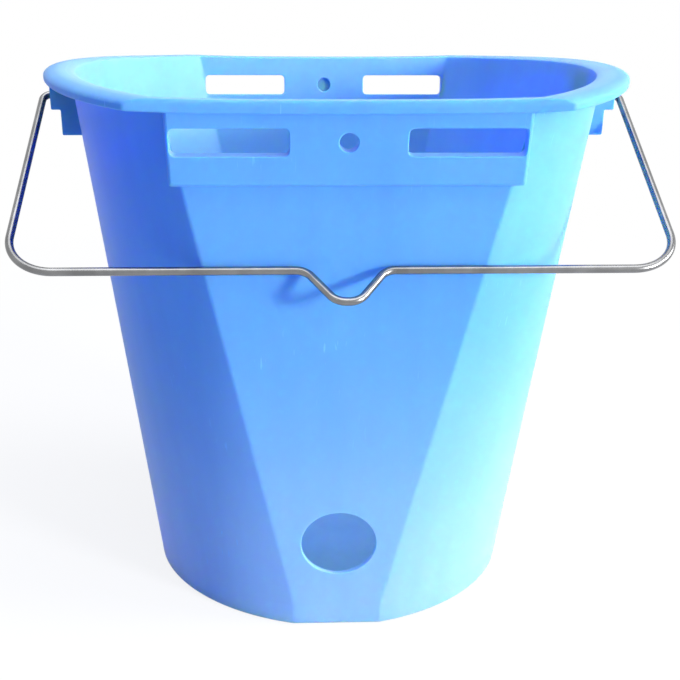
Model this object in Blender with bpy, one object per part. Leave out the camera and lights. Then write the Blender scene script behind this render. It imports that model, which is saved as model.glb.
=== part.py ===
"""Flat-sided feeding bucket with a wire bail.

Frame: +X to the right, the front panel with the teat hole faces -Y, +Z up.
The origin is the centre of the base underside. Sizes below are in millimetres.
"""
import math

import bmesh
import bpy
from mathutils import Matrix, Vector

MM = 0.001

# Body: a flat front and back joined by two round sides, narrower at the base
RIM_HEIGHT = 291.8
TOP_HALF_WIDTH = 139.7
TOP_HALF_DEPTH = 120.9
TOP_FLAT_HALF = 82.4
TOP_CREASE_DEGREES = 39.3
TOP_FULLNESS = 0.904
BASE_HALF_WIDTH = 105.9
BASE_HALF_DEPTH = 91.2
BASE_FLAT_HALF = 24.0
BASE_CREASE_DEGREES = 14.0
BASE_FULLNESS = 0.78
SKIRT_HEIGHT = 14.0
WALL = 2.8
FLOOR = 3.0
FLOOR_ROUNDING = 4.0
BASE_ROUNDING = 2.5
FOOT_WIDTH = 9.0
FOOT_RECESS = 1.5
PAD_RADIUS = 26.0

# Rim: a flange with a turned-down lip, rising towards the two ends
RIM_RISE = 6.7
RIM_CURVE = 3.2
LIP_GAP_SIDE = 10.6
LIP_GAP_FLAT = 2.5
LIP_THICKNESS = 2.5
LIP_LENGTH = 2.8
FLANGE_THICKNESS = 3.0
LIP_ROLL_SIDE = 9.0
LIP_ROLL_FLAT = 1.2
LIP_ROLL_DROP = 3.4
MOUTH_ROUNDING_SIDE = 4.0
MOUTH_ROUNDING = 1.0

# Hanger bands, front and back: a raised plate with two slots and a hole
BAND_SETBACK = 1.0
BAND_DROP = 37.5
BAND_INSET = 2.0
BAND_TAPER = 0.7
BAND_ROUNDING = 2.0
BAND_ROOT = 8.0
HANGER_DROP = 17.7
SLOT_START = 26.1
SLOT_MARGIN = 2.0
SLOT_HEIGHT = 12.3
SLOT_ROUNDING = 2.3
HANGER_HOLE = 8.6
HOLE_WEB = 1.0

# Teat hole, low in the front panel
TEAT_HOLE = 40.2
TEAT_HOLE_HEIGHT = 55.8

# Bail ears, moulded under the rim at both ends, with a step in their outer side
EAR_WIDTH = 27.0
EAR_WALL = 3.0
EAR_INSET = 0.7
EAR_TOP_DEPTH = 17.7
EAR_LEG_INSET = 5.8
EAR_LEG_DEPTH = 31.2

# Bail: one bent wire with a dip in the middle of its bar
WIRE = 4.0
BAIL_DROP = 11.0
BAIL_OVER_RIM = 4.9
BAIL_RIM_GAP = 3.2
BAIL_END_GAP = 3.0
EAR_BORE_CLEARANCE = 0.6
SHOULDER_BEND = 5.0
CORNER_BEND = 23.0
DIP_HALF_WIDTH = 18.8
DIP_DEPTH = 19.4
DIP_FLOOR_HALF = 5.2
DIP_BEND_TOP = 9.0
DIP_BEND_FLOOR = 9.0
REST_GAP = 0.3

# Facets
SIDE_STEPS = 40
FLAT_STEPS = 10
ROUNDING_STEPS = 3
LIP_STEPS = 5
BASE_STEPS = 3
EAR_TOP_STEPS = 4
HOLE_SIDES = 48
SMALL_SIDES = 20
BEND_STEP_DEGREES = 12.0
SHARP_DEGREES = 32.0
CUT_MARGIN = 6.0


TOP_CREASE = math.radians(TOP_CREASE_DEGREES)
BASE_CREASE = math.radians(BASE_CREASE_DEGREES)
PANEL_SLOPE = (TOP_HALF_DEPTH - BASE_HALF_DEPTH) / RIM_HEIGHT
PANEL_TILT = math.atan(PANEL_SLOPE)
FLANGE_SIDE = LIP_GAP_SIDE + LIP_THICKNESS
FLANGE_FLAT = LIP_GAP_FLAT + LIP_THICKNESS
LIP_DROP = FLANGE_THICKNESS + LIP_LENGTH
RIM_HALF_WIDTH = TOP_HALF_WIDTH + FLANGE_SIDE
RIM_HALF_DEPTH = TOP_HALF_DEPTH + FLANGE_FLAT
BAND_HALF_WIDTH = TOP_FLAT_HALF - BAND_INSET
BAND_PROUD = FLANGE_FLAT - BAND_SETBACK
HINGE_HEIGHT = RIM_HEIGHT - BAIL_DROP
BAIL_REACH = math.hypot(RIM_HALF_DEPTH, BAIL_DROP) + BAIL_OVER_RIM + 0.5 * WIRE
ARM_X = RIM_HALF_WIDTH + BAIL_RIM_GAP + 0.5 * WIRE
EAR_OUTER = RIM_HALF_WIDTH - EAR_INSET
EAR_LEG_OUTER = RIM_HALF_WIDTH - EAR_LEG_INSET


def half_width_at(height):
    return BASE_HALF_WIDTH + (TOP_HALF_WIDTH - BASE_HALF_WIDTH) * height / RIM_HEIGHT


def half_depth_at(height):
    return BASE_HALF_DEPTH + PANEL_SLOPE * height


def rise_at(x):
    """How much higher the rim stands at x than at its middle."""
    return RIM_RISE * (abs(x) / RIM_HALF_WIDTH) ** RIM_CURVE


def outline(half_width, flat_half, half_depth, crease, fullness):
    """One closed outline, counter-clockwise from above, starting at the front flat's right end.

    Each side is a conic arc. It leaves the flats at the crease angle and is square to X at its middle.
    """
    tangents_meet = half_depth - (half_width - flat_half) * math.tan(crease)
    right = []
    for step in range(SIDE_STEPS):
        along = 2.0 * step / SIDE_STEPS - 1.0
        share = abs(along)
        near = (1.0 - share) ** 2
        middle = 2.0 * fullness * share * (1.0 - share)
        far = share**2
        x = ((near + middle) * half_width + far * flat_half) / (near + middle + far)
        y = (middle * tangents_meet + far * half_depth) / (near + middle + far)
        right.append((x, math.copysign(y, along)))
    back = [(flat_half * (1.0 - 2.0 * step / FLAT_STEPS), half_depth) for step in range(FLAT_STEPS)]
    half = right + back
    return half + [(-x, -y) for x, y in half]


def section(height, side_offset, flat_offset):
    """The wall's outline at the base, the skirt's top or the rim, moved out by the offsets."""
    at_rim = height == RIM_HEIGHT
    crease = TOP_CREASE if at_rim else BASE_CREASE
    flat_half = TOP_FLAT_HALF if at_rim else BASE_FLAT_HALF
    flat_half += (side_offset - flat_offset * math.cos(crease)) / math.sin(crease)
    return outline(half_width_at(height) + side_offset, flat_half, half_depth_at(height) + flat_offset,
                   crease, TOP_FULLNESS if at_rim else BASE_FULLNESS)


def ring(side_offset, flat_offset, height, follow_rim=False, wall_slope=True):
    """The body's outline moved out by the offsets, at one height or at a height that follows the rim."""
    low, high = (0.0, SKIRT_HEIGHT) if height < SKIRT_HEIGHT else (SKIRT_HEIGHT, RIM_HEIGHT)
    lower = section(low, side_offset, flat_offset)
    upper = section(high, side_offset, flat_offset)
    points = []
    for (low_x, low_y), (high_x, high_y) in zip(lower, upper):
        z = height + (rise_at(high_x) if follow_rim else 0.0)
        share = (z - low) / (high - low) if wall_slope else 1.0
        points.append((low_x + (high_x - low_x) * share, low_y + (high_y - low_y) * share, z))
    return points


def shrunk(points, radius, height):
    """The same outline drawn in towards the axis until its width is twice the radius."""
    scale = radius / max(x for x, y, z in points)
    return [(x * scale, y * scale, height) for x, y, z in points]


def lofted(name, loops, place=None):
    """A closed solid through the loops of points, flat at its first and last loop."""
    mesh_data = bmesh.new()
    rows = [[mesh_data.verts.new(Vector(point) * MM) for point in points] for points in loops]
    count = len(rows[0])
    for lower, upper in zip(rows, rows[1:]):
        for index in range(count):
            follow = (index + 1) % count
            mesh_data.faces.new((lower[index], lower[follow], upper[follow], upper[index]))
    mesh_data.faces.new(list(reversed(rows[0])))
    mesh_data.faces.new(rows[-1])
    bmesh.ops.recalc_face_normals(mesh_data, faces=mesh_data.faces)
    if place is not None:
        bmesh.ops.transform(mesh_data, matrix=place, verts=mesh_data.verts)
    return as_object(name, mesh_data)


def prism(name, polygon, start, end, place=None):
    """A polygon in the local XZ plane, extruded along local Y from start to end."""
    return lofted(name, [[(x, y, z) for x, z in polygon] for y in (start, end)], place)


def as_object(name, mesh_data):
    mesh = bpy.data.meshes.new(name)
    mesh_data.to_mesh(mesh)
    mesh_data.free()
    smooth(mesh)
    made = bpy.data.objects.new(name, mesh)
    bpy.context.scene.collection.objects.link(made)
    return made


def smooth(mesh):
    """Shade the round faces smooth and keep the real edges sharp."""
    mesh.shade_smooth()
    mesh.set_sharp_from_angle(angle=math.radians(SHARP_DEGREES))


def combine(target, other, operation):
    """Add the other shape to the target or cut it away, and delete the other."""
    change = target.modifiers.new(other.name, "BOOLEAN")
    change.operation = operation
    change.solver = "EXACT"
    change.object = other
    bpy.context.view_layer.update()
    result = target.evaluated_get(bpy.context.evaluated_depsgraph_get())
    mesh = bpy.data.meshes.new_from_object(result)
    target.modifiers.clear()
    used = target.data
    target.data = mesh
    bpy.data.meshes.remove(used)
    mesh.name = target.name
    bpy.data.meshes.remove(other.data)
    smooth(mesh)


def rounded_box(left, right, bottom, top, rounding):
    """Corner points of a rectangle with rounded corners, in the XZ plane."""
    points = []
    corners = ((right, bottom, -90.0), (right, top, 0.0), (left, top, 90.0), (left, bottom, 180.0))
    for x, z, first in corners:
        centre_x = x + (rounding if x == left else -rounding)
        centre_z = z + (rounding if z == bottom else -rounding)
        for step in range(ROUNDING_STEPS + 1):
            angle = math.radians(first + 90.0 * step / ROUNDING_STEPS)
            points.append((centre_x + rounding * math.cos(angle), centre_z + rounding * math.sin(angle)))
    return points


def circle(centre_x, centre_z, diameter, sides):
    angles = [2.0 * math.pi * step / sides for step in range(sides)]
    return [(centre_x + diameter / 2.0 * math.cos(angle), centre_z + diameter / 2.0 * math.sin(angle))
            for angle in angles]


def panel_place(height, turned):
    """Local frame on the front panel at a height: X across, Z up the slope, -Y straight out of it."""
    lean = Matrix.Rotation(PANEL_TILT, 4, "X")
    at_panel = Matrix.Translation(Vector((0.0, -half_depth_at(height), height)) * MM) @ lean
    return Matrix.Rotation(math.pi if turned else 0.0, 4, "Z") @ at_panel


def outer_body():
    """The bucket without its hollow: base, walls and rim."""
    inner_foot = ring(-BASE_ROUNDING - FOOT_WIDTH, -BASE_ROUNDING - FOOT_WIDTH, 0.0)
    recess_edge = -BASE_ROUNDING - FOOT_WIDTH - FOOT_RECESS
    loops = [
        shrunk(inner_foot, PAD_RADIUS, 0.0),
        shrunk(inner_foot, PAD_RADIUS + FOOT_RECESS, FOOT_RECESS),
        ring(recess_edge, recess_edge, FOOT_RECESS),
        inner_foot,
    ]
    for step in range(BASE_STEPS + 1):
        angle = 0.5 * math.pi * step / BASE_STEPS
        inset = -BASE_ROUNDING * (1.0 - math.sin(angle))
        loops.append(ring(inset, inset, BASE_ROUNDING * (1.0 - math.cos(angle))))
    under = RIM_HEIGHT - FLANGE_THICKNESS
    lip = RIM_HEIGHT - LIP_DROP
    loops.append(ring(0.0, 0.0, SKIRT_HEIGHT))
    loops.append(ring(0.0, 0.0, under, follow_rim=True))
    inner_side = FLANGE_SIDE - LIP_THICKNESS
    inner_flat = FLANGE_FLAT - LIP_THICKNESS
    loops.append(ring(inner_side, inner_flat, under, follow_rim=True, wall_slope=False))
    loops.append(ring(inner_side, inner_flat, lip, follow_rim=True, wall_slope=False))
    loops.append(ring(FLANGE_SIDE, FLANGE_FLAT, lip, follow_rim=True, wall_slope=False))
    for step in range(LIP_STEPS + 1):
        angle = 0.5 * math.pi * step / LIP_STEPS
        inset = 1.0 - math.cos(angle)
        drop = LIP_ROLL_DROP * (1.0 - math.sin(angle))
        loops.append(ring(FLANGE_SIDE - LIP_ROLL_SIDE * inset, FLANGE_FLAT - LIP_ROLL_FLAT * inset,
                          RIM_HEIGHT - drop, follow_rim=True, wall_slope=False))
    loops.append(ring(-WALL, -WALL, RIM_HEIGHT, follow_rim=True))
    loops.append(ring(-WALL - CUT_MARGIN, -WALL - CUT_MARGIN, RIM_HEIGHT - CUT_MARGIN))
    return lofted("bucket_body", loops)


def hollow():
    """The space inside the bucket, opening out over the rounded edge of the mouth."""
    loops = []
    for step in range(ROUNDING_STEPS + 1):
        angle = 0.5 * math.pi * step / ROUNDING_STEPS
        inset = -WALL - FLOOR_ROUNDING * (1.0 - math.sin(angle))
        loops.append(ring(inset, inset, FOOT_RECESS + FLOOR + FLOOR_ROUNDING * (1.0 - math.cos(angle))))
    loops.append(ring(-WALL, -WALL, SKIRT_HEIGHT))
    for step in range(ROUNDING_STEPS):
        angle = 0.5 * math.pi * step / ROUNDING_STEPS
        loops.append(mouth_ring(1.0 - math.cos(angle), math.sin(angle) - 1.0))
    facet = 0.5 * math.pi / ROUNDING_STEPS
    loops.append(mouth_ring(1.0 + math.tan(0.5 * facet) / math.tan(facet), math.tan(0.5 * facet)))
    above = RIM_HEIGHT + RIM_RISE + MOUTH_ROUNDING_SIDE
    loops.append([(x, y, above) for x, y, z in loops[-1]])
    return lofted("hollow", loops)


def mouth_ring(out, up):
    """The inner edge of the mouth moved out and up by shares of its rounding."""
    return ring(-WALL + MOUTH_ROUNDING_SIDE * out, -WALL + MOUTH_ROUNDING * out,
                RIM_HEIGHT + MOUTH_ROUNDING * up, follow_rim=True)


def band(turned):
    """Raised plate under the rim, with its ends and its lower edge rounded over."""
    loops = []
    for step in range(ROUNDING_STEPS + 1):
        angle = 0.5 * math.pi * step / ROUNDING_STEPS
        inset = BAND_ROUNDING * (1.0 - math.sin(angle))
        loops.append(band_outline(inset, BAND_ROUNDING * (1.0 - math.cos(angle)) - BAND_PROUD))
    loops.append(band_outline(0.0, BAND_ROOT))
    return lofted("band_back" if turned else "band_front", loops, panel_place(RIM_HEIGHT - BAND_DROP, turned))


def band_outline(inset, depth):
    """The band's outline in its local XZ plane, its top hidden in the rim's flange."""
    low_half = BAND_HALF_WIDTH - BAND_TAPER - inset
    high_half = BAND_HALF_WIDTH - inset
    points = [(-low_half, depth, inset), (low_half, depth, inset)]
    for step in range(FLAT_STEPS + 1):
        x = high_half * (1.0 - 2.0 * step / FLAT_STEPS)
        points.append((x, depth, BAND_DROP + rise_at(x) - 0.5 * FLANGE_THICKNESS))
    return points


def hanger_cuts(turned):
    """Two slots cut square through the band and the wall, and the hole between them."""
    place = panel_place(RIM_HEIGHT - HANGER_DROP, turned)
    outside = -BAND_PROUD - CUT_MARGIN
    inside = WALL + CUT_MARGIN
    end = "back" if turned else "front"
    slot_end = BAND_HALF_WIDTH - SLOT_MARGIN
    half_height = 0.5 * SLOT_HEIGHT
    left = rounded_box(-slot_end, -SLOT_START, -half_height, half_height, SLOT_ROUNDING)
    right = rounded_box(SLOT_START, slot_end, -half_height, half_height, SLOT_ROUNDING)
    hole = circle(0.0, 0.0, HANGER_HOLE, SMALL_SIDES)
    cuts = [
        prism("slot_left_" + end, left, outside, inside, place),
        prism("slot_right_" + end, right, outside, inside, place),
    ]
    if turned:
        middle = 0.5 * (WALL - BAND_PROUD)
        cuts.append(prism("hole_back_outside", hole, outside, middle - 0.5 * HOLE_WEB, place))
        cuts.append(prism("hole_back_inside", hole, middle + 0.5 * HOLE_WEB, inside, place))
    else:
        cuts.append(prism("hole_front", hole, outside, inside, place))
    return cuts


def teat_cut():
    """Round hole for the teat, square to the front panel."""
    place = panel_place(TEAT_HOLE_HEIGHT, False)
    hole = circle(0.0, 0.0, TEAT_HOLE, HOLE_SIDES)
    return prism("teat_hole", hole, -CUT_MARGIN, WALL + CUT_MARGIN, place)


def ear_outline(inset, open_below):
    """Stepped outline of a right-hand ear in the XZ plane, drawn in by its wall for the pocket."""
    root = half_width_at(RIM_HEIGHT - EAR_LEG_DEPTH) - WALL
    outer = EAR_OUTER - inset
    leg = EAR_LEG_OUTER - inset
    shoulder = outer - LIP_ROLL_DROP - EAR_WALL + inset
    top = RIM_HEIGHT - 0.5 * FLANGE_THICKNESS - inset
    step_height = RIM_HEIGHT - EAR_TOP_DEPTH + inset
    bottom = RIM_HEIGHT - EAR_LEG_DEPTH - (CUT_MARGIN if open_below else 0.0)
    under_lip = RIM_HEIGHT + rise_at(outer) - LIP_DROP + 0.5 * LIP_THICKNESS - inset
    points = [(root, bottom), (leg, bottom), (leg, step_height), (outer, step_height), (outer, under_lip)]
    for step in range(EAR_TOP_STEPS + 1):
        x = shoulder + (root - shoulder) * step / EAR_TOP_STEPS
        points.append((x, top + rise_at(x)))
    return points


def ear(mirrored):
    """Moulded box under the rim that holds one end of the bail, open underneath."""
    side = "left" if mirrored else "right"
    half = 0.5 * EAR_WIDTH
    place = Matrix.Rotation(math.pi if mirrored else 0.0, 4, "Z")
    block = prism("ear_" + side, ear_outline(0.0, False), -half, half, place)
    inner_half = half - EAR_WALL
    pocket = prism("ear_pocket_" + side, ear_outline(EAR_WALL, True), -inner_half, inner_half, place)
    combine(block, pocket, "DIFFERENCE")
    return block


def ear_bore(mirrored):
    """Hole for the bail's end through the ear's outer wall, along local Y turned to run along X."""
    side = "left" if mirrored else "right"
    turn = Matrix.Rotation((0.5 if mirrored else -0.5) * math.pi, 4, "Z")
    place = Matrix.Translation((0.0, 0.0, HINGE_HEIGHT * MM)) @ turn
    bore = circle(0.0, 0.0, WIRE + EAR_BORE_CLEARANCE, SMALL_SIDES)
    start = EAR_OUTER - EAR_WALL - BAIL_END_GAP
    return prism("ear_bore_" + side, bore, start, EAR_OUTER + CUT_MARGIN, place)


def bent(corners):
    """Points along a bent wire: straight runs between corners, each corner an arc of its own radius."""
    points = [Vector(corners[0][0])]
    for before, here, after in zip(corners, corners[1:], corners[2:]):
        corner = Vector(here[0])
        to_before = (Vector(before[0]) - corner).normalized()
        to_after = (Vector(after[0]) - corner).normalized()
        turn = math.pi - to_before.angle(to_after)
        radius = here[1]
        along = radius * math.tan(turn / 2.0)
        centre = corner + (to_before + to_after).normalized() * radius / math.cos(turn / 2.0)
        start = corner + to_before * along - centre
        end = corner + to_after * along - centre
        steps = max(2, math.ceil(math.degrees(turn) / BEND_STEP_DEGREES))
        for step in range(steps + 1):
            share = step / steps
            blend = start * math.sin((1.0 - share) * turn) + end * math.sin(share * turn)
            points.append(centre + blend / math.sin(turn))
    points.append(Vector(corners[-1][0]))
    return points


def bail_rest_angle():
    """Angle from straight down at which the bar lies on the front panel."""
    panel_at_hinge = half_depth_at(HINGE_HEIGHT) * math.cos(PANEL_TILT)
    return math.asin((panel_at_hinge + 0.5 * WIRE + REST_GAP) / BAIL_REACH) - PANEL_TILT


def bail():
    """The wire in its own plane: X across, -Y away from the hinge axis, turned to rest on the panel."""
    inner_end = half_width_at(HINGE_HEIGHT) + BAIL_END_GAP
    right = [
        ((DIP_FLOOR_HALF, -BAIL_REACH - DIP_DEPTH, 0.0), DIP_BEND_FLOOR),
        ((DIP_HALF_WIDTH, -BAIL_REACH, 0.0), DIP_BEND_TOP),
        ((ARM_X, -BAIL_REACH, 0.0), CORNER_BEND),
        ((ARM_X, 0.0, 0.0), SHOULDER_BEND),
        ((inner_end, 0.0, 0.0), 0.0),
    ]
    left = [((-point[0], point[1], point[2]), radius) for point, radius in reversed(right)]
    points = bent(left + right)
    curve = bpy.data.curves.new("bail_handle", "CURVE")
    curve.dimensions = "3D"
    curve.bevel_depth = 0.5 * WIRE * MM
    curve.bevel_resolution = 4
    curve.use_fill_caps = True
    spline = curve.splines.new("POLY")
    spline.points.add(len(points) - 1)
    for slot, point in zip(spline.points, points):
        slot.co = (point.x * MM, point.y * MM, point.z * MM, 1.0)
    made = bpy.data.objects.new("bail_handle", curve)
    bpy.context.scene.collection.objects.link(made)
    hinge = bpy.data.objects.new("bail_hinge", None)
    bpy.context.scene.collection.objects.link(hinge)
    hinge.location = (0.0, 0.0, HINGE_HEIGHT * MM)
    hinge.rotation_euler = (0.5 * math.pi - bail_rest_angle(), 0.0, 0.0)
    made.parent = hinge
    return made


def finish(name, colour, roughness, metallic, transmission=0.0):
    material = bpy.data.materials.new(name)
    material.use_nodes = True
    shader = material.node_tree.nodes["Principled BSDF"]
    shader.inputs["Base Color"].default_value = (*colour, 1.0)
    shader.inputs["Roughness"].default_value = roughness
    shader.inputs["Metallic"].default_value = metallic
    shader.inputs["Transmission Weight"].default_value = transmission
    return material


def main():
    for thing in list(bpy.data.objects):
        bpy.data.objects.remove(thing, do_unlink=True)
    bucket = outer_body()
    for turned in (False, True):
        combine(bucket, band(turned), "UNION")
    for mirrored in (False, True):
        combine(bucket, ear(mirrored), "UNION")
    combine(bucket, hollow(), "DIFFERENCE")
    cuts = hanger_cuts(False) + hanger_cuts(True) + [teat_cut(), ear_bore(False), ear_bore(True)]
    for cut in cuts:
        combine(bucket, cut, "DIFFERENCE")
    bucket.data.materials.append(finish("blue_plastic", (0.11, 0.42, 0.92), 0.32, 0.0, 0.1))
    handle = bail()
    handle.data.materials.append(finish("bright_wire", (0.72, 0.73, 0.74), 0.25, 1.0))


main()
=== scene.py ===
import math

import bpy
import numpy as np
from mathutils import Matrix, Vector


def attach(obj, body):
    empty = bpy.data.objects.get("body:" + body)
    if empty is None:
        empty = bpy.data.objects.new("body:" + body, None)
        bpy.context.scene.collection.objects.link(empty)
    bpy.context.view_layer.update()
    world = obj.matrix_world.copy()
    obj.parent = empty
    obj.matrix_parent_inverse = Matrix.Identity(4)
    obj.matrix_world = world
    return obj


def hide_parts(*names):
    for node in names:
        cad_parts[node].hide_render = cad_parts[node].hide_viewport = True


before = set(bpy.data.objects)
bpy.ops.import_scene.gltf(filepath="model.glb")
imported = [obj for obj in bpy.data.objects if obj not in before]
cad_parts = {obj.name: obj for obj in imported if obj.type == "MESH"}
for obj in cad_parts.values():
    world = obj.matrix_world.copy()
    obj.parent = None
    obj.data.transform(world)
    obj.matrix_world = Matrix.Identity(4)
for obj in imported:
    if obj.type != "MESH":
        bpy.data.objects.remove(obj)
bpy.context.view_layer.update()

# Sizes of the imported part, in millimetres
MM = 0.001
RIM_HEIGHT = 291.8
TOP_HALF_WIDTH = 139.7
TOP_HALF_DEPTH = 120.9
TOP_FLAT_HALF = 82.4
TOP_CREASE = math.radians(39.3)
TOP_FULLNESS = 0.904
BASE_HALF_WIDTH = 105.9
BASE_HALF_DEPTH = 91.2
BASE_FLAT_HALF = 24.0
BASE_CREASE = math.radians(14.0)
BASE_FULLNESS = 0.78
SKIRT_HEIGHT = 14.0
WALL = 2.8
FLOOR = 3.0
FLOOR_ROUNDING = 4.0
BASE_ROUNDING = 2.5
FOOT_WIDTH = 9.0
FOOT_RECESS = 1.5
PAD_RADIUS = 26.0

RIM_RISE = 6.7
RIM_CURVE = 3.2
LIP_GAP_SIDE = 10.6
LIP_GAP_FLAT = 2.5
LIP_THICKNESS = 2.5
LIP_LENGTH = 2.8
FLANGE_THICKNESS = 3.0
LIP_ROLL_SIDE = 9.0
LIP_ROLL_FLAT = 1.2
LIP_ROLL_DROP = 3.4
MOUTH_ROUNDING_SIDE = 4.0
MOUTH_ROUNDING = 1.0
FLANGE_SIDE = LIP_GAP_SIDE + LIP_THICKNESS
FLANGE_FLAT = LIP_GAP_FLAT + LIP_THICKNESS
LIP_DROP = FLANGE_THICKNESS + LIP_LENGTH
RIM_HALF_WIDTH = TOP_HALF_WIDTH + FLANGE_SIDE

BAND_INSET = 2.0
BAND_SETBACK = 1.0
BAND_DROP = 37.5
BAND_TAPER = 0.7
BAND_ROUNDING = 2.0
BAND_ROOT = 8.0
BAND_HALF_WIDTH = TOP_FLAT_HALF - BAND_INSET
BAND_PROUD = FLANGE_FLAT - BAND_SETBACK
HANGER_DROP = 17.7
SLOT_START = 26.1
SLOT_MARGIN = 2.0
SLOT_HEIGHT = 12.3
HANGER_HOLE = 8.6
HOLE_WEB = 1.0
TEAT_HOLE = 40.2
TEAT_HOLE_HEIGHT = 55.8

EAR_WIDTH = 27.0
EAR_WALL = 3.0
EAR_INSET = 0.7
EAR_LEG_INSET = 5.8
EAR_TOP_DEPTH = 17.7
EAR_LEG_DEPTH = 31.2
EAR_ROOT = 8.0
EAR_OUTER = RIM_HALF_WIDTH - EAR_INSET

WIRE_RADIUS = 2.0
BAIL_DROP = 11.0
BAIL_OVER_RIM = 4.9
BAIL_RIM_GAP = 3.2
BAIL_END_GAP = 3.0
BORE_GAP = 0.3
REST_GAP = 0.3
SHOULDER_BEND = 5.0
CORNER_BEND = 23.0
DIP_BEND = 9.0
DIP_HALF_WIDTH = 18.8
DIP_DEPTH = 19.4
DIP_FLOOR_HALF = 5.2
HINGE_HEIGHT = RIM_HEIGHT - BAIL_DROP
BAIL_REACH = math.hypot(TOP_HALF_DEPTH + FLANGE_FLAT, BAIL_DROP) + BAIL_OVER_RIM + WIRE_RADIUS
ARM_X = RIM_HALF_WIDTH + BAIL_RIM_GAP + WIRE_RADIUS

PANEL_TILT = math.atan((TOP_HALF_DEPTH - BASE_HALF_DEPTH) / RIM_HEIGHT)

# Roundings that are finer here than in the solids, in millimetres
CREASE_REACH = 1.3
ROOT_ROUNDING = 0.9
GROOVE_ROUNDING = 0.5
LIP_ROUNDING = 0.9
BAND_CORNER = 1.6
BAND_TOP_GAP = 1.3
SLOT_CORNER = 2.8
SLOT_EDGE = 0.6
HOLE_EDGE = 0.5
EAR_ROUNDING = 0.8
EAR_CORNER = 0.9
POCKET_CORNER = 0.6
WIRE_END_ROUNDING = 0.8

# How finely the surfaces are divided and shaded, and how far the cutters reach past them
SIDE_COLUMNS = 79
CREASE_COLUMNS = 5
FLAT_COLUMNS = 25
WALL_LEVELS = np.linspace(30.0, 270.0, 13)
NEAR_SKIRT = SKIRT_HEIGHT + np.array([-0.1, 0.0, 0.1])
TUBE_SIDES = 32
WIRE_STEP = 6.0
BEND_STEP_DEGREES = 3.0
BUCKET_SHARP = math.radians(38.0)
WIRE_SHARP = math.radians(50.0)
CUT_PAST = 0.7
POCKET_PAST = 6.0

# Colours of the plastic, the first three each with both ends of their faint clouds
OUTER_BLUE = (0.112, 0.35, 0.78), (0.128, 0.375, 0.82)
# The base blue is paler than the outer blue: painted light bounced up from the floor.
BASE_PAINTED_LIGHT_BLUE = (0.24, 0.455, 0.84), (0.265, 0.485, 0.88)
# The inner blue is paler than the outer blue: painted light spread round inside the bucket.
INNER_PAINTED_LIGHT_BLUE = (0.195, 0.465, 0.87), (0.225, 0.505, 0.9)
SCUFF_BLUE = (0.2, 0.5, 0.96, 1.0)
WHITE = (1.0, 1.0, 1.0, 1.0)

# The photograph's camera: pixels, degrees and metres
PHOTO_WIDTH = 680.0
PHOTO_MIDDLE = 310.2
FOCAL_LENGTH = 975.27
CAMERA_TURN = (20.36, 2.02, -0.25)
CAMERA_PLACE = (-0.03171, -0.5491, 0.34072)
SENSOR_WIDTH = 36.0


def half_width_at(height):
    """The walls widen evenly from the base to the rim."""
    return BASE_HALF_WIDTH + (TOP_HALF_WIDTH - BASE_HALF_WIDTH) * height / RIM_HEIGHT


def half_depth_at(height):
    """The same for the depth."""
    return BASE_HALF_DEPTH + (TOP_HALF_DEPTH - BASE_HALF_DEPTH) * height / RIM_HEIGHT


def rise_at(x):
    """The rim's height over its middle: a power of the distance from the middle."""
    return RIM_RISE * (np.abs(x) / RIM_HALF_WIDTH) ** RIM_CURVE


def quarter_round(radius, steps):
    """A quarter round, as how far it has left its first edge and how far it still is from its second.

    At a turn from 0 to 90 degrees these are radius * (1 - cos(turn)) and radius * (1 - sin(turn)).
    """
    turn = np.linspace(0.0, 0.5 * math.pi, steps + 1)
    return radius * (1.0 - np.cos(turn)), radius * (1.0 - np.sin(turn))


def wall_outline(half_width, flat_half, half_depth, crease, fullness):
    """Outlines from above, one row each, counter-clockwise from the front flat's right end.

    A side is a conic: near * P0 + middle * P1 + far * P2 over the sum of the three weights, with P0 its
    outermost point, P2 the flat's end and P1 where their tangents meet. A crease is the parabola that
    rounds the corner within CREASE_REACH of it. A flat is a straight row of points.
    """
    wide, flat, deep = (np.reshape(size, (-1, 1)) for size in (half_width, flat_half, half_depth))
    along = np.linspace(-1.0, 1.0, SIDE_COLUMNS + 2)[None, 1:-1]
    share = np.abs(along)
    near, middle, far = (1.0 - share) ** 2, 2.0 * fullness * share * (1.0 - share), share**2
    total = near + middle + far
    meet = deep - (wide - flat) * math.tan(crease)
    side_x = ((near + middle) * wide + far * flat) / total
    side_y = np.sign(along) * (middle * meet + far * deep) / total
    turn = np.linspace(0.0, 1.0, CREASE_COLUMNS)[None, :]
    turn_x = flat + CREASE_REACH * (turn**2 * math.cos(crease) - (1.0 - turn) ** 2)
    turn_y = -deep + CREASE_REACH * turn**2 * math.sin(crease)
    flat_x = (flat - CREASE_REACH) * np.linspace(1.0, -1.0, FLAT_COLUMNS + 2)[None, 1:-1]
    half_x = np.hstack([turn_x, side_x, turn_x[:, ::-1], flat_x])
    half_y = np.hstack([turn_y, side_y, -turn_y[:, ::-1], deep + 0.0 * flat_x])
    return np.dstack([np.hstack([half_x, -half_x]), np.hstack([half_y, -half_y])])


def section(height, side, flat):
    """Outlines at the base, the skirt's top or the rim, moved out by the side and flat offsets."""
    if height == RIM_HEIGHT:
        flat_half, crease, fullness = TOP_FLAT_HALF, TOP_CREASE, TOP_FULLNESS
    else:
        flat_half, crease, fullness = BASE_FLAT_HALF, BASE_CREASE, BASE_FULLNESS
    spread = (side - flat * math.cos(crease)) / math.sin(crease)
    return wall_outline(half_width_at(height) + side, flat_half + spread, half_depth_at(height) + flat,
                        crease, fullness)


def profile(side, flat, height, follow_rim=0.0, upright=0.0):
    """Rows of a profile, from numbers or arrays of the same length."""
    return np.column_stack(np.broadcast_arrays(side, flat, height, follow_rim, upright))


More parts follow.
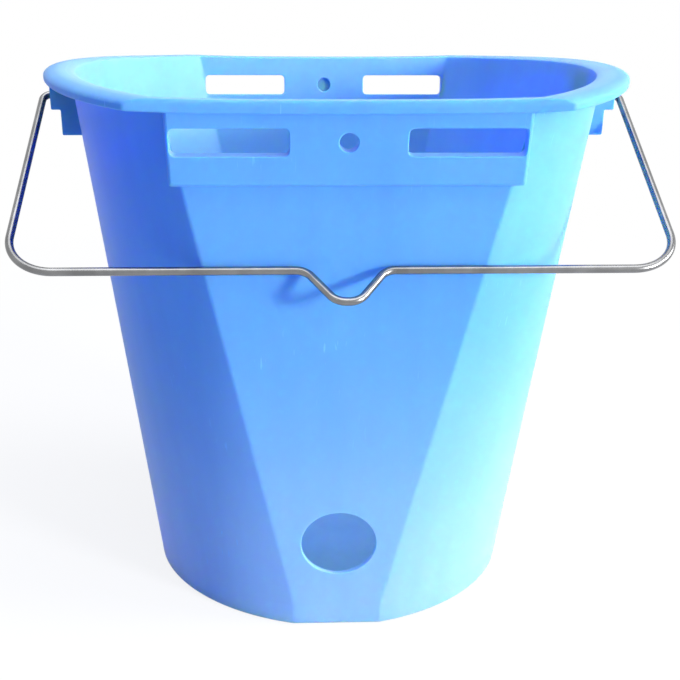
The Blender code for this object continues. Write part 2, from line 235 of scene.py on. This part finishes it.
def around_wall(rows):
    """Carries a profile round the bucket: a grid of points, one row for each row of the profile.

    A point lies on the straight line between the two outlines next to it in height. Rows that follow
    the rim stand higher by its rise, and upright rows keep the rim's own outline.
    """
    side, flat, height, follow_rim, upright = np.asarray(rows, float).T
    base, skirt, rim = (section(level, side, flat) for level in (0.0, SKIRT_HEIGHT, RIM_HEIGHT))
    on_skirt = (height < SKIRT_HEIGHT)[:, None]
    z = height[:, None] + follow_rim[:, None] * rise_at(rim[..., 0])
    low = np.where(on_skirt, 0.0, SKIRT_HEIGHT)
    high = np.where(on_skirt, SKIRT_HEIGHT, RIM_HEIGHT)
    share = np.where(upright[:, None] > 0.0, 1.0, (z - low) / (high - low))[..., None]
    start = np.where(on_skirt[..., None], base, skirt)
    end = np.where(on_skirt[..., None], skirt, rim)
    return np.dstack([start + (end - start) * share, z])


def drawn_in(outline, radius, height):
    """One outline shrunk towards the axis to each radius, at each height."""
    scale = np.reshape(radius, (-1, 1)) / outline[:, 0].max()
    level = np.reshape(height, (-1, 1)) + 0.0 * scale * outline[None, :, 0]
    return np.dstack([scale * outline[None, :, 0], scale * outline[None, :, 1], level])


def rings(radius, columns):
    """Circles round the middle, one for each radius."""
    angle = np.linspace(0.0, 2.0 * math.pi, columns, endpoint=False)
    return radius[:, None, None] * np.stack([np.cos(angle), np.sin(angle)], axis=-1)[None]


def softened(corners, reach, steps=6):
    """Closed outlines through the corners. Each corner is the parabola between the points at its reach
    along both edges: corner + (1 - t)^2 * back + t^2 * on, with t from 0 to 1."""
    back = np.roll(corners, 1, axis=-2) - corners
    on = np.roll(corners, -1, axis=-2) - corners
    back, on = (way / np.linalg.norm(way, axis=-1, keepdims=True) for way in (back, on))
    t = np.linspace(0.0, 1.0, steps)[:, None]
    reach = np.reshape(reach, (-1, 1, 1, 1))
    bent = corners[..., None, :] + reach * ((1.0 - t) ** 2 * back[..., None, :] + t**2 * on[..., None, :])
    return bent.reshape(*corners.shape[:-2], -1, 2)


def skin_faces(rows, columns, start, end):
    """Faces of a grid closed round its columns, with one more point at each end of its rows."""
    place = np.arange(rows * columns).reshape(rows, columns)
    follow = np.roll(place, -1, axis=1)
    sides = np.stack([place[:-1], follow[:-1], follow[1:], place[1:]], axis=-1).reshape(-1, 4)
    first = np.stack([np.full(columns, start), follow[0], place[0]], axis=-1)
    last = np.stack([place[-1], follow[-1], np.full(columns, end)], axis=-1)
    return sides.tolist() + first.tolist() + last.tolist()


def closed_skin(name, grid, start, end, place=None):
    """A closed mesh from a grid of points, with a pole before its first row and one after its last."""
    rows, columns = grid.shape[:2]
    size = rows * columns
    points = np.vstack([grid.reshape(-1, 3), start, end]) * MM
    mesh = bpy.data.meshes.new(name)
    mesh.from_pydata(points.tolist(), [], skin_faces(rows, columns, size, size + 1))
    if place is not None:
        mesh.transform(place)
    mesh.update()
    made = bpy.data.objects.new(name, mesh)
    bpy.context.scene.collection.objects.link(made)
    return made


def bake(target):
    """Makes the target's modifiers part of its mesh."""
    bpy.context.view_layer.update()
    shaped = target.evaluated_get(bpy.context.evaluated_depsgraph_get())
    mesh = bpy.data.meshes.new_from_object(shaped)
    target.modifiers.clear()
    used = target.data
    target.data = mesh
    bpy.data.meshes.remove(used)
    mesh.name = target.name


def combine(target, other, operation):
    """Adds the other solid to the target or cuts it away, and removes the other."""
    change = target.modifiers.new(other.name, "BOOLEAN")
    change.operation = operation
    change.solver = "EXACT"
    change.object = other
    bake(target)
    bpy.data.meshes.remove(other.data)


def bucket_shell():
    """Base, walls and rim as one closed skin: a profile from the middle of the underside, out over the
    foot, up the outside, over the lip and the mouth, down the inside and in over the floor."""
    foot = -BASE_ROUNDING - FOOT_WIDTH
    inner_foot = around_wall(profile(foot, foot, 0.0))[0]
    pad_out = PAD_RADIUS + np.array([-14.0, -0.6, -0.2, 0.1, 1.3, 1.6, 2.0, 22.0])
    pad_up = np.concatenate([[0.0, 0.0, 0.06, 0.25], FOOT_RECESS - np.array([0.2, 0.04, 0.0, 0.0])])
    pad = drawn_in(inner_foot, pad_out, pad_up)
    step_in = foot - FOOT_RECESS + np.array([-6.0, -0.4, -0.1, 0.15, 1.4, 1.7, 2.1, 4.5, 8.5])
    step_up = np.concatenate([FOOT_RECESS - np.array([0.0, 0.0, 0.04, 0.2]), [0.2, 0.05, 0.0, 0.0, 0.0]])
    base_up, base_in = quarter_round(BASE_ROUNDING, 8)
    outside = np.concatenate([[5.0, 9.0], NEAR_SKIRT, WALL_LEVELS])

    under = RIM_HEIGHT - FLANGE_THICKNESS
    lip = RIM_HEIGHT - LIP_DROP
    root_out, root_down = quarter_round(ROOT_ROUNDING, 4)
    groove_down, groove_in = quarter_round(GROOVE_ROUNDING, 4)
    edge_on, edge_left = quarter_round(LIP_ROUNDING, 4)
    roll_in, roll_down = quarter_round(1.0, 14)
    top = np.array([0.25, 0.5, 0.75])
    top_side = FLANGE_SIDE - LIP_ROLL_SIDE
    top_flat = FLANGE_FLAT - LIP_ROLL_FLAT
    mouth_side = MOUTH_ROUNDING_SIDE - WALL
    mouth_flat = MOUTH_ROUNDING - WALL
    mouth_down, mouth_out = quarter_round(1.0, 8)

    inside = np.concatenate([WALL_LEVELS[::-1], NEAR_SKIRT[::-1]])
    floor = FOOT_RECESS + FLOOR
    floor_in, floor_up = quarter_round(FLOOR_ROUNDING, 8)
    rows = [
        profile(step_in, step_in, step_up),
        profile(-base_in, -base_in, base_up),
        profile(0.0, 0.0, outside),
        profile(root_out, root_out, under - root_down, 1.0),
        profile(LIP_GAP_SIDE - groove_in, LIP_GAP_FLAT - groove_in, under - groove_down, 1.0, 1.0),
        profile(LIP_GAP_SIDE + edge_on, LIP_GAP_FLAT + edge_on, lip + edge_left, 1.0, 1.0),
        profile(FLANGE_SIDE - edge_left, FLANGE_FLAT - edge_left, lip + edge_on, 1.0, 1.0),
        profile(FLANGE_SIDE - LIP_ROLL_SIDE * roll_in, FLANGE_FLAT - LIP_ROLL_FLAT * roll_in,
                RIM_HEIGHT - LIP_ROLL_DROP * roll_down, 1.0, 1.0),
        profile(top_side + (mouth_side - top_side) * top, top_flat + (mouth_flat - top_flat) * top,
                RIM_HEIGHT, 1.0, 1.0),
        profile(MOUTH_ROUNDING_SIDE * mouth_out - WALL, MOUTH_ROUNDING * mouth_out - WALL,
                RIM_HEIGHT - MOUTH_ROUNDING * mouth_down, 1.0),
        profile(-WALL, -WALL, RIM_HEIGHT - np.array([4.0, 12.0]), 1.0),
        profile(-WALL, -WALL, inside),
        profile(-WALL - floor_in, -WALL - floor_in, floor + floor_up),
    ]
    wall = around_wall(np.vstack(rows))
    inner_floor = drawn_in(wall[-1], np.array([80.0, 50.0, 20.0]), np.full(3, floor))
    grid = np.concatenate([pad, wall, inner_floor])
    return closed_skin("bucket", grid, (0.0, 0.0, 0.0), (0.0, 0.0, floor))


def wall_middle():
    """A plain solid up to the middle of the wall, to trim the roots of what is joined to the wall."""
    low, high = 200.0, RIM_HEIGHT + 20.0
    grid = around_wall(profile(-0.5 * WALL, -0.5 * WALL, np.array([low, low + 40.0, high])))
    return closed_skin("wall_middle", grid, (0.0, 0.0, low), (0.0, 0.0, high))


def panel_place(height, turned):
    """The front panel's own frame at a height: X across, Z up its slope, -Y straight out of it."""
    lean = Matrix.Rotation(PANEL_TILT, 4, "X")
    at_panel = Matrix.Translation(Vector((0.0, -half_depth_at(height), height)) * MM) @ lean
    return Matrix.Rotation(math.pi if turned else 0.0, 4, "Z") @ at_panel


def panel_block(name, outlines, depths, place):
    """A solid on the panel: the outlines, one for each depth, closed at the first and the last."""
    level = np.repeat(np.reshape(depths, (-1, 1)), outlines.shape[1], axis=1)
    grid = np.dstack([outlines[..., 0], level, outlines[..., 1]])[:, ::-1]
    middle = outlines.mean(axis=1)
    start, end = ((middle[at, 0], depths[at], middle[at, 1]) for at in (0, -1))
    return closed_skin(name, grid, start, end, place)


def hanger_band(turned):
    """Raised plate under the rim: a tapered rectangle whose face is drawn in by a quarter round."""
    deeper, inset = quarter_round(BAND_ROUNDING, 6)
    inset = np.append(inset, 0.0)
    depths = np.append(deeper - BAND_PROUD, BAND_ROOT)
    low_half = BAND_HALF_WIDTH - BAND_TAPER - inset
    high_half = BAND_HALF_WIDTH - inset
    top = np.full(len(inset), BAND_DROP - BAND_TOP_GAP)
    x = np.stack([-low_half, low_half, high_half, -high_half], axis=1)
    z = np.stack([inset, inset, top, top], axis=1)
    outlines = softened(np.dstack([x, z]), BAND_CORNER - 0.5 * inset)
    return panel_block("band", outlines, depths, panel_place(RIM_HEIGHT - BAND_DROP, turned))


def ear_corners(inset, below):
    """Corners of a stepped ear from the front, drawn in by the inset and longer below by the rest."""
    root = np.full(np.shape(inset), half_width_at(RIM_HEIGHT - EAR_LEG_DEPTH) - EAR_ROOT)
    outer = EAR_OUTER - inset
    leg = RIM_HALF_WIDTH - EAR_LEG_INSET - inset
    shoulder = outer - LIP_ROLL_DROP - EAR_WALL
    bottom = RIM_HEIGHT - EAR_LEG_DEPTH + inset * (below == 0.0) - below
    step = RIM_HEIGHT - EAR_TOP_DEPTH + inset
    top = RIM_HEIGHT - 0.5 * FLANGE_THICKNESS - inset
    under_lip = RIM_HEIGHT + rise_at(outer) - LIP_DROP + 0.5 * LIP_THICKNESS - inset
    x = np.stack([root, leg, leg, outer, outer, shoulder, root], axis=1)
    z = np.stack([bottom, bottom, step, step, under_lip, top + rise_at(shoulder), top + rise_at(root)],
                 axis=1)
    return np.dstack([x, z])


def bail_ear(mirrored):
    """Moulded box that holds one end of the bail: a stepped outline carried across, its two faces drawn
    in by a quarter round, with a pocket open underneath."""
    place = Matrix.Rotation(math.pi if mirrored else 0.0, 4, "Z")
    narrower, inset = quarter_round(EAR_ROUNDING, 4)
    across = 0.5 * EAR_WIDTH - narrower
    outlines = softened(ear_corners(np.concatenate([inset, inset[::-1]]), 0.0), EAR_CORNER)
    block = panel_block("ear", outlines, np.concatenate([-across, across[::-1]]), place)
    pocket = softened(ear_corners(np.full(2, EAR_WALL), POCKET_PAST), POCKET_CORNER)
    half = 0.5 * EAR_WIDTH - EAR_WALL
    combine(block, panel_block("pocket", pocket, np.array([-half, half]), place), "DIFFERENCE")
    return block


def rounded_edges(face, back, edge):
    """How far a cutter through the panel widens, and at which depths, to round both edges of its hole.

    It keeps its size between the two faces, widens along the first 70 degrees of a round next to each
    face, and runs on straight past it.
    """
    turn = np.radians([0.0, 14.0, 28.0, 42.0, 56.0, 70.0])
    widen = edge * (1.0 - np.cos(turn))
    rise = edge * (1.0 - np.sin(turn))
    far = widen[-1] + (CUT_PAST + rise[-1]) * math.tan(turn[-1])
    wide = np.concatenate([[far], widen[::-1], widen, [far]])
    depths = np.concatenate([[face - CUT_PAST], face + rise[::-1], back - rise, [back + CUT_PAST]])
    return wide, depths


def slot_cutter(left, right, place):
    """Cuts a slot with round corners and edges through the band and the wall."""
    half = 0.5 * SLOT_HEIGHT
    corners = np.array([(left, -half), (right, -half), (right, half), (left, half)])
    wide, depths = rounded_edges(-BAND_PROUD, WALL, SLOT_EDGE)
    outwards = np.sign(corners - corners.mean(axis=0))
    outlines = softened(corners[None] + wide[:, None, None] * outwards[None], SLOT_CORNER + wide)
    return panel_block("cut", outlines, depths, place)


def hole_cutter(diameter, face, place, columns):
    """Cuts a round hole with round edges from the face through the wall."""
    wide, depths = rounded_edges(face, WALL, HOLE_EDGE)
    return panel_block("cut", rings(0.5 * diameter + wide, columns), depths, place)


def blind_cutter(diameter, face, bottom, place):
    """Cuts a round recess from the face down to its flat bottom."""
    outward = np.sign(bottom - face)
    deep = abs(bottom - face)
    radius = 0.5 * diameter + np.array([1.0, 0.3, 0.08, 0.0, 0.0, -0.3])
    depths = face + outward * np.array([-0.6, 0.05, 0.25, 0.5, deep - 0.3, deep])
    outlines = rings(radius, 40)
    if outward < 0.0:
        outlines, depths = outlines[::-1], depths[::-1]
    return panel_block("cut", outlines, depths, place)


def bore_cutter(mirrored):
    """Cuts a round bore along X through the ear's outer wall, wider at its mouth."""
    turn = Matrix.Rotation((0.5 if mirrored else -0.5) * math.pi, 4, "Z")
    place = Matrix.Translation((0.0, 0.0, HINGE_HEIGHT * MM)) @ turn
    depths = EAR_OUTER + np.array([-EAR_WALL - 3.0, -0.3, 0.1, 2.0])
    radius = WIRE_RADIUS + BORE_GAP + np.array([0.0, 0.0, 0.4, 2.3])
    return panel_block("bore", rings(radius, 32), depths, place)


def moulded_bucket():
    """The whole moulding: the shell with its bands and ears, and all its openings."""
    bucket = bucket_shell()
    added = hanger_band(False)
    for piece in (hanger_band(True), bail_ear(False), bail_ear(True)):
        combine(added, piece, "UNION")
    combine(added, wall_middle(), "DIFFERENCE")
    combine(bucket, added, "UNION")
    slot_end = BAND_HALF_WIDTH - SLOT_MARGIN
    front, rear = (panel_place(RIM_HEIGHT - HANGER_DROP, turned) for turned in (False, True))
    for place in (front, rear):
        for left, right in ((-slot_end, -SLOT_START), (SLOT_START, slot_end)):
            combine(bucket, slot_cutter(left, right, place), "DIFFERENCE")
    combine(bucket, hole_cutter(HANGER_HOLE, -BAND_PROUD, front, 48), "DIFFERENCE")
    # The rear hole is not cut through. A thin web of the plastic is left in its middle: a sheet that
    # stands in for the shade seen through the open hole.
    middle = 0.5 * (WALL - BAND_PROUD)
    for face, bottom in ((-BAND_PROUD, middle - 0.5 * HOLE_WEB), (WALL, middle + 0.5 * HOLE_WEB)):
        combine(bucket, blind_cutter(HANGER_HOLE, face, bottom, rear), "DIFFERENCE")
    at_teat = panel_place(TEAT_HOLE_HEIGHT, False)
    combine(bucket, hole_cutter(TEAT_HOLE, 0.0, at_teat, 120), "DIFFERENCE")
    for mirrored in (False, True):
        combine(bucket, bore_cutter(mirrored), "DIFFERENCE")
    bucket.data.shade_smooth()
    bucket.data.set_sharp_from_angle(angle=BUCKET_SHARP)
    even = bucket.modifiers.new("even_shading", "WEIGHTED_NORMAL")
    even.keep_sharp = True
    even.weight = 80
    bake(bucket)
    return bucket


def bent_wire(corners):
    """Points along a bent wire: straight runs between the corners, each corner an arc of its bend.

    Each corner is its point and the radius of its bend.
    """
    points = [np.array([corners[0][0]])]
    for before, here, after in zip(corners, corners[1:], corners[2:]):
        corner = np.array(here[0])
        back, on = (np.array(end[0]) - corner for end in (before, after))
        back, on = back / np.linalg.norm(back), on / np.linalg.norm(on)
        turn = math.pi - math.acos(float(np.dot(back, on)))
        reach = here[1] * math.tan(0.5 * turn)
        centre = corner + (back + on) / np.linalg.norm(back + on) * here[1] / math.cos(0.5 * turn)
        steps = max(3, int(math.degrees(turn) / BEND_STEP_DEGREES))
        share = np.linspace(0.0, 1.0, steps + 1)[:, None]
        start, end = corner + back * reach - centre, corner + on * reach - centre
        arc = (start * np.sin((1.0 - share) * turn) + end * np.sin(share * turn)) / math.sin(turn)
        points.append(centre + arc)
    points.append(np.array([corners[-1][0]]))
    return np.vstack(points)


def bail_path():
    """The bail's middle line in its own plane, from its left end to its right, hinge line at zero."""
    inner_end = half_width_at(HINGE_HEIGHT) + BAIL_END_GAP
    right = [((DIP_FLOOR_HALF, -BAIL_REACH - DIP_DEPTH), DIP_BEND),
             ((DIP_HALF_WIDTH, -BAIL_REACH), DIP_BEND), ((ARM_X, -BAIL_REACH), CORNER_BEND),
             ((ARM_X, 0.0), SHOULDER_BEND), ((inner_end, 0.0), 0.0)]
    left = [((-point[0], point[1]), bend) for point, bend in reversed(right)]
    path = bent_wire(left + right)
    gap = np.linalg.norm(np.diff(path, axis=0), axis=1)
    length = np.concatenate([[0.0], np.cumsum(gap)])
    dense = np.unique(np.concatenate([length, np.arange(0.0, length[-1], WIRE_STEP)]))
    return np.stack([np.interp(dense, length, path[:, axis]) for axis in (0, 1)], axis=1)


def bail_place():
    """Hangs the bail on the ears' bores, with its grip just off the front panel."""
    panel_at_hinge = half_depth_at(HINGE_HEIGHT) * math.cos(PANEL_TILT)
    rest = math.asin((panel_at_hinge + WIRE_RADIUS + REST_GAP) / BAIL_REACH) - PANEL_TILT
    hang = Matrix.Rotation(0.5 * math.pi - rest, 4, "X")
    return Matrix.Translation((0.0, 0.0, HINGE_HEIGHT * MM)) @ hang


def bail_wire():
    """The bail: a circle carried along the bent wire, its two ends domed by a quarter round.

    A point is path + radius * (cos(angle) * across + sin(angle) * plane normal). The attribute
    drawn_along holds cos(angle), sin(angle) and a hundredth of the row, so its patterns run along the
    wire.
    """
    path = bail_path()
    way = np.gradient(path, axis=0)
    way /= np.linalg.norm(way, axis=1, keepdims=True)
    dome = np.radians([10.0, 35.0, 60.0, 90.0])
    ends = len(dome)
    inward = WIRE_END_ROUNDING * (1.0 - np.cos(dome))[:, None]
    path = np.vstack([path[:1] + way[:1] * inward, path[1:-1], path[-1:] - way[-1:] * inward[::-1]])
    way = np.vstack([np.repeat(way[:1], ends, axis=0), way[1:-1], np.repeat(way[-1:], ends, axis=0)])
    domed = WIRE_RADIUS - WIRE_END_ROUNDING * (1.0 - np.sin(dome))
    radius = np.concatenate([domed, np.full(len(path) - 2 * ends, WIRE_RADIUS), domed[::-1]])
    angle = np.linspace(0.0, 2.0 * math.pi, TUBE_SIDES, endpoint=False)
    across = np.stack([way[:, 1], -way[:, 0]], axis=1)
    spread = radius[:, None] * np.cos(angle)
    grid = np.dstack([path[:, :1] + across[:, :1] * spread, path[:, 1:] + across[:, 1:] * spread,
                      radius[:, None] * np.sin(angle)])
    first, last = ((*path[end], 0.0) for end in (0, -1))
    wire = closed_skin("bail", grid, first, last, bail_place())

    row = np.arange(len(path))[:, None]
    round_and_along = np.dstack(np.broadcast_arrays(np.cos(angle), np.sin(angle), 0.01 * row))
    at_points = np.vstack([round_and_along.reshape(-1, 3), np.zeros((2, 3))])
    drawn = wire.data.attributes.new("drawn_along", "FLOAT_VECTOR", "POINT")
    drawn.data.foreach_set("vector", at_points.ravel())
    wire.data.shade_smooth()
    wire.data.set_sharp_from_angle(angle=WIRE_SHARP)
    return wire


class Nodes:
    """Short way to add nodes to a material and join them."""

    def __init__(self, tree):
        self.tree = tree

    def add(self, kind, inputs=(), **settings):
        """Adds a node. Each input gets a plain value, or the output that it is joined to."""
        node = self.tree.nodes.new("ShaderNode" + kind)
        for name, value in settings.items():
            setattr(node, name, value)
        for name, value in dict(inputs).items():
            if isinstance(value, bpy.types.NodeSocket):
                self.tree.links.new(value, node.inputs[name])
            else:
                node.inputs[name].default_value = value
        return node

    def work_out(self, operation, first, second):
        """One number from two."""
        return self.add("Math", {0: first, 1: second}, operation=operation).outputs[0]

    def blend(self, factor, first, second, how="MIX"):
        """One colour from two, by a factor of the second."""
        inputs = {"Factor": factor, "A": first, "B": second}
        return self.add("Mix", inputs, data_type="RGBA", blend_type=how).outputs["Result"]

    def ramp(self, value, stops):
        """A colour for each value, from stops that each have a place and a colour or a grey."""
        node = self.add("ValToRGB", {"Fac": value})
        bar = node.color_ramp
        while len(bar.elements) < len(stops):
            bar.elements.new(1.0)
        for element, (at, colour) in zip(bar.elements, stops):
            element.position = at
            element.color = (*colour, 1.0) if isinstance(colour, tuple) else (colour, colour, colour, 1.0)
        return node.outputs["Color"]


def new_material(name):
    """An empty material, with the way to add nodes to it."""
    material = bpy.data.materials.new(name)
    material.use_nodes = True
    tree = material.node_tree
    tree.nodes.clear()
    return material, Nodes(tree)


def plastic_blue(nodes, place, cloud):
    """The plastic's blue, faintly clouded. It is paler towards the base and inside the bucket, where
    the surface looks towards the bucket's axis: painted light, standing in for light bounced up from the
    floor near the base and for light spread round inside the bucket."""
    where = place.outputs["Object"]
    outer, base, inner = (nodes.ramp(cloud, [(0.3, ends[0]), (0.7, ends[1])])
                          for ends in (OUTER_BLUE, BASE_PAINTED_LIGHT_BLUE, INNER_PAINTED_LIGHT_BLUE))
    height = nodes.add("SeparateXYZ", {"Vector": where}).outputs["Z"]
    # Painted light from the floor: the outside turns to the paler base blue over the lowest 0.21 m.
    up = nodes.add("MapRange", {"Value": height, "From Min": 0.0, "From Max": 0.21},
                   interpolation_type="SMOOTHSTEP")
    outside = nodes.blend(up.outputs["Result"], base, outer)
    # Painted light inside: the surface turns to the paler inner blue where it faces the bucket's axis.
    level = nodes.add("VectorMath", {0: where, 1: (1.0, 1.0, 0.0)}, operation="MULTIPLY")
    faces_out = nodes.add("VectorMath", {0: place.outputs["Normal"], 1: level.outputs[0]},
                          operation="DOT_PRODUCT")
    inside = nodes.add("MapRange", {"Value": faces_out.outputs["Value"],
                                    "From Min": 0.01, "From Max": -0.02})
    return nodes.blend(inside.outputs["Result"], outside, inner)


def flow_streaks(nodes, where):
    """A grey that darkens the plastic in faint upright streaks, left by its flow in the mould."""
    flow = nodes.add("Mapping", {"Vector": where, "Scale": (60.0, 60.0, 5.0)})
    streak = nodes.add("TexNoise", {"Vector": flow.outputs["Vector"], "Scale": 1.0, "Detail": 4.0})
    return nodes.ramp(streak.outputs["Fac"], [(0.35, 0.95), (0.65, 1.0)])


def light_scuffs(nodes, where):
    """1 on thin slanting scratches, which lie in a few patches."""
    tilted = nodes.add("Mapping", {"Vector": where, "Rotation": (0.4, 0.9, 0.5),
                                   "Scale": (700.0, 700.0, 22.0)})
    scratch = nodes.add("TexNoise", {"Vector": tilted.outputs["Vector"], "Scale": 1.0, "Detail": 2.0})
    patch = nodes.add("TexNoise", {"Vector": where, "Scale": 24.0, "Detail": 2.0})
    lines = nodes.ramp(scratch.outputs["Fac"], [(0.66, 0.0), (0.74, 1.0)])
    worn = nodes.ramp(patch.outputs["Fac"], [(0.55, 0.0), (0.7, 1.0)])
    return nodes.work_out("MULTIPLY", lines, worn)


def moulded_skin(nodes, where):
    """The surface's normal: a fine skin over low soft waves."""
    skin = nodes.add("TexNoise", {"Vector": where, "Scale": 900.0, "Detail": 2.0})
    waves = nodes.add("TexNoise", {"Vector": where, "Scale": 40.0, "Detail": 1.0})
    fine = nodes.add("Bump", {"Height": skin.outputs["Fac"], "Strength": 0.06, "Distance": 0.0002})
    soft = nodes.add("Bump", {"Height": waves.outputs["Fac"], "Strength": 0.08, "Distance": 0.002,
                              "Normal": fine.outputs["Normal"]})
    return soft.outputs["Normal"]


def blue_plastic():
    """Moulded blue plastic that lets some light through, with a soft gloss and a few light scuffs."""
    material, nodes = new_material("blue_plastic")
    place = nodes.add("TexCoord")
    where = place.outputs["Object"]
    cloud = nodes.add("TexNoise", {"Vector": where, "Scale": 9.0, "Detail": 3.0, "Roughness": 0.55})
    cloud = cloud.outputs["Fac"]
    tint = nodes.blend(1.0, plastic_blue(nodes, place, cloud), flow_streaks(nodes, where), "MULTIPLY")
    scuffs = light_scuffs(nodes, where)
    even = nodes.add("MapRange", {"Value": cloud, "To Min": 0.36, "To Max": 0.46})
    duller = nodes.work_out("MULTIPLY", scuffs, 0.2)
    shader = nodes.add("BsdfPrincipled", {
        "Base Color": nodes.blend(scuffs, tint, SCUFF_BLUE),
        "Roughness": nodes.work_out("ADD", even.outputs["Result"], duller),
        "Normal": moulded_skin(nodes, where),
        "Subsurface Weight": 1.0,
        "Subsurface Radius": (0.8, 2.5, 14.0),
        "Subsurface Scale": 0.001,
        "IOR": 1.45,
        "Specular IOR Level": 0.12,
    })
    nodes.add("OutputMaterial", {"Surface": shader.outputs["BSDF"]})
    return material


def bright_wire():
    """Bright drawn wire: fine lines along it in its gloss, faint clouds in its colour."""
    material, nodes = new_material("bright_wire")
    where = nodes.add("TexCoord").outputs["Object"]
    cloud = nodes.add("TexNoise", {"Vector": where, "Scale": 90.0, "Detail": 2.0})
    colour = nodes.ramp(cloud.outputs["Fac"], [(0.3, (0.18, 0.182, 0.186)), (0.7, (0.26, 0.263, 0.269))])
    drawn = nodes.add("Attribute", attribute_name="drawn_along")
    lines = nodes.add("TexNoise", {"Vector": drawn.outputs["Vector"], "Scale": 6.0, "Detail": 2.0})
    rough = nodes.add("MapRange", {"Value": lines.outputs["Fac"], "To Min": 0.22, "To Max": 0.3})
    shader = nodes.add("BsdfPrincipled", {"Base Color": colour, "Metallic": 1.0,
                                          "Roughness": rough.outputs["Result"]})
    nodes.add("OutputMaterial", {"Surface": shader.outputs["BSDF"]})
    return material


def shown_to_camera(nodes):
    """1 for rays that show the background: from the camera, or by way of gloss or glass."""
    path = nodes.add("LightPath").outputs
    seen = nodes.work_out("MAXIMUM", path["Is Camera Ray"], path["Is Glossy Ray"])
    return nodes.work_out("MAXIMUM", seen, path["Is Transmission Ray"])


def surround():
    """A dim cool light all round, shown as plain white."""
    world = bpy.data.worlds.new("surround")
    bpy.context.scene.world = world
    world.use_nodes = True
    world.node_tree.nodes.clear()
    nodes = Nodes(world.node_tree)
    cool = nodes.add("Background", {"Color": (0.2, 0.4, 1.0, 1.0), "Strength": 0.28})
    white = nodes.add("Background", {"Color": WHITE, "Strength": 1.0})
    mix = nodes.add("MixShader", {0: shown_to_camera(nodes), 1: cool.outputs[0], 2: white.outputs[0]})
    nodes.add("OutputWorld", {"Surface": mix.outputs[0]})


def white_paper():
    """Paper that throws less light back at the bucket than it shows, and turns to a plain white glow
    away from the bucket, so that only the shadow near it stays."""
    material, nodes = new_material("white_floor")
    shown = shown_to_camera(nodes)
    paper = nodes.add("BsdfDiffuse", {"Color": nodes.ramp(shown, [(0.0, 0.6), (1.0, 0.97)])})
    glow = nodes.add("Emission", {"Color": WHITE, "Strength": 1.0})
    where = nodes.add("TexCoord").outputs["Object"]
    away = nodes.add("VectorMath", {"Vector": where}, operation="LENGTH")
    share = nodes.add("MapRange", {"Value": away.outputs["Value"], "From Min": 0.25, "From Max": 0.9,
                                   "To Min": 0.84, "To Max": 1.0})
    seen = nodes.work_out("MULTIPLY", shown, share.outputs["Result"])
    mix = nodes.add("MixShader", {0: seen, 1: paper.outputs[0], 2: glow.outputs[0]})
    nodes.add("OutputMaterial", {"Surface": mix.outputs[0]})
    return material


def floor_sheet():
    """A square of white paper under the bucket."""
    half = 3.0
    mesh = bpy.data.meshes.new("floor")
    corners = [(-half, -half, 0.0), (half, -half, 0.0), (half, half, 0.0), (-half, half, 0.0)]
    mesh.from_pydata(corners, [], [(0, 1, 2, 3)])
    floor = bpy.data.objects.new("floor", mesh)
    bpy.context.scene.collection.objects.link(floor)
    floor.data.materials.append(white_paper())


def lamp(name, azimuth, elevation, distance, width, power):
    """A round soft lamp aimed at the bucket's middle, in metres and watts.

    Its azimuth and elevation are in degrees, to the right of the front and up.
    """
    light = bpy.data.lights.new(name, "AREA")
    light.shape = "DISK"
    light.size = width
    light.energy = power
    made = bpy.data.objects.new(name, light)
    bpy.context.scene.collection.objects.link(made)
    turn, lift = math.radians(azimuth), math.radians(elevation)
    way = Vector((math.sin(turn) * math.cos(lift), -math.cos(turn) * math.cos(lift), math.sin(lift)))
    made.location = Vector((0.0, 0.0, 0.16)) + way * distance
    made.rotation_euler = way.to_track_quat("Z", "Y").to_euler()


def photo_camera():
    """The photograph's camera, turned by its pitch down, yaw to the right and roll."""
    pitch, yaw, roll = (math.radians(angle) for angle in CAMERA_TURN)
    ahead = Vector((math.sin(yaw) * math.cos(pitch), math.cos(yaw) * math.cos(pitch), -math.sin(pitch)))
    level = Vector((math.cos(yaw), -math.sin(yaw), 0.0))
    down = ahead.cross(level)
    across = level * math.cos(roll) + down * math.sin(roll)
    below = down * math.cos(roll) - level * math.sin(roll)
    camera = bpy.data.objects.new("camera", bpy.data.cameras.new("camera"))
    bpy.context.scene.collection.objects.link(camera)
    stand = Matrix((across, -below, -ahead)).transposed().to_4x4()
    stand.translation = Vector(CAMERA_PLACE)
    camera.matrix_world = stand
    camera.data.sensor_width = SENSOR_WIDTH
    camera.data.lens = FOCAL_LENGTH / PHOTO_WIDTH * SENSOR_WIDTH
    camera.data.shift_x = (0.5 * PHOTO_WIDTH - PHOTO_MIDDLE) / PHOTO_WIDTH
    camera.data.clip_start = 0.01
    bpy.context.scene.camera = camera


def studio():
    """White floor and surround, two lamps from the right, a wide soft lamp overhead, and the camera."""
    surround()
    floor_sheet()
    lamp("key", 50.0, 11.0, 2.2, 0.45, 58.0)
    lamp("side", 80.0, 25.0, 2.2, 1.0, 36.0)
    lamp("overhead", 10.0, 80.0, 1.6, 1.9, 26.0)
    photo_camera()
    bpy.context.scene.view_settings.view_transform = "Standard"


bucket = moulded_bucket()
bucket.data.materials.clear()
bucket.data.materials.append(blue_plastic())
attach(bucket, "bucket")
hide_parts("bucket_body")

bail = bail_wire()
bail.data.materials.append(bright_wire())
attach(bail, "bail")
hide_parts("bail_handle")

studio()
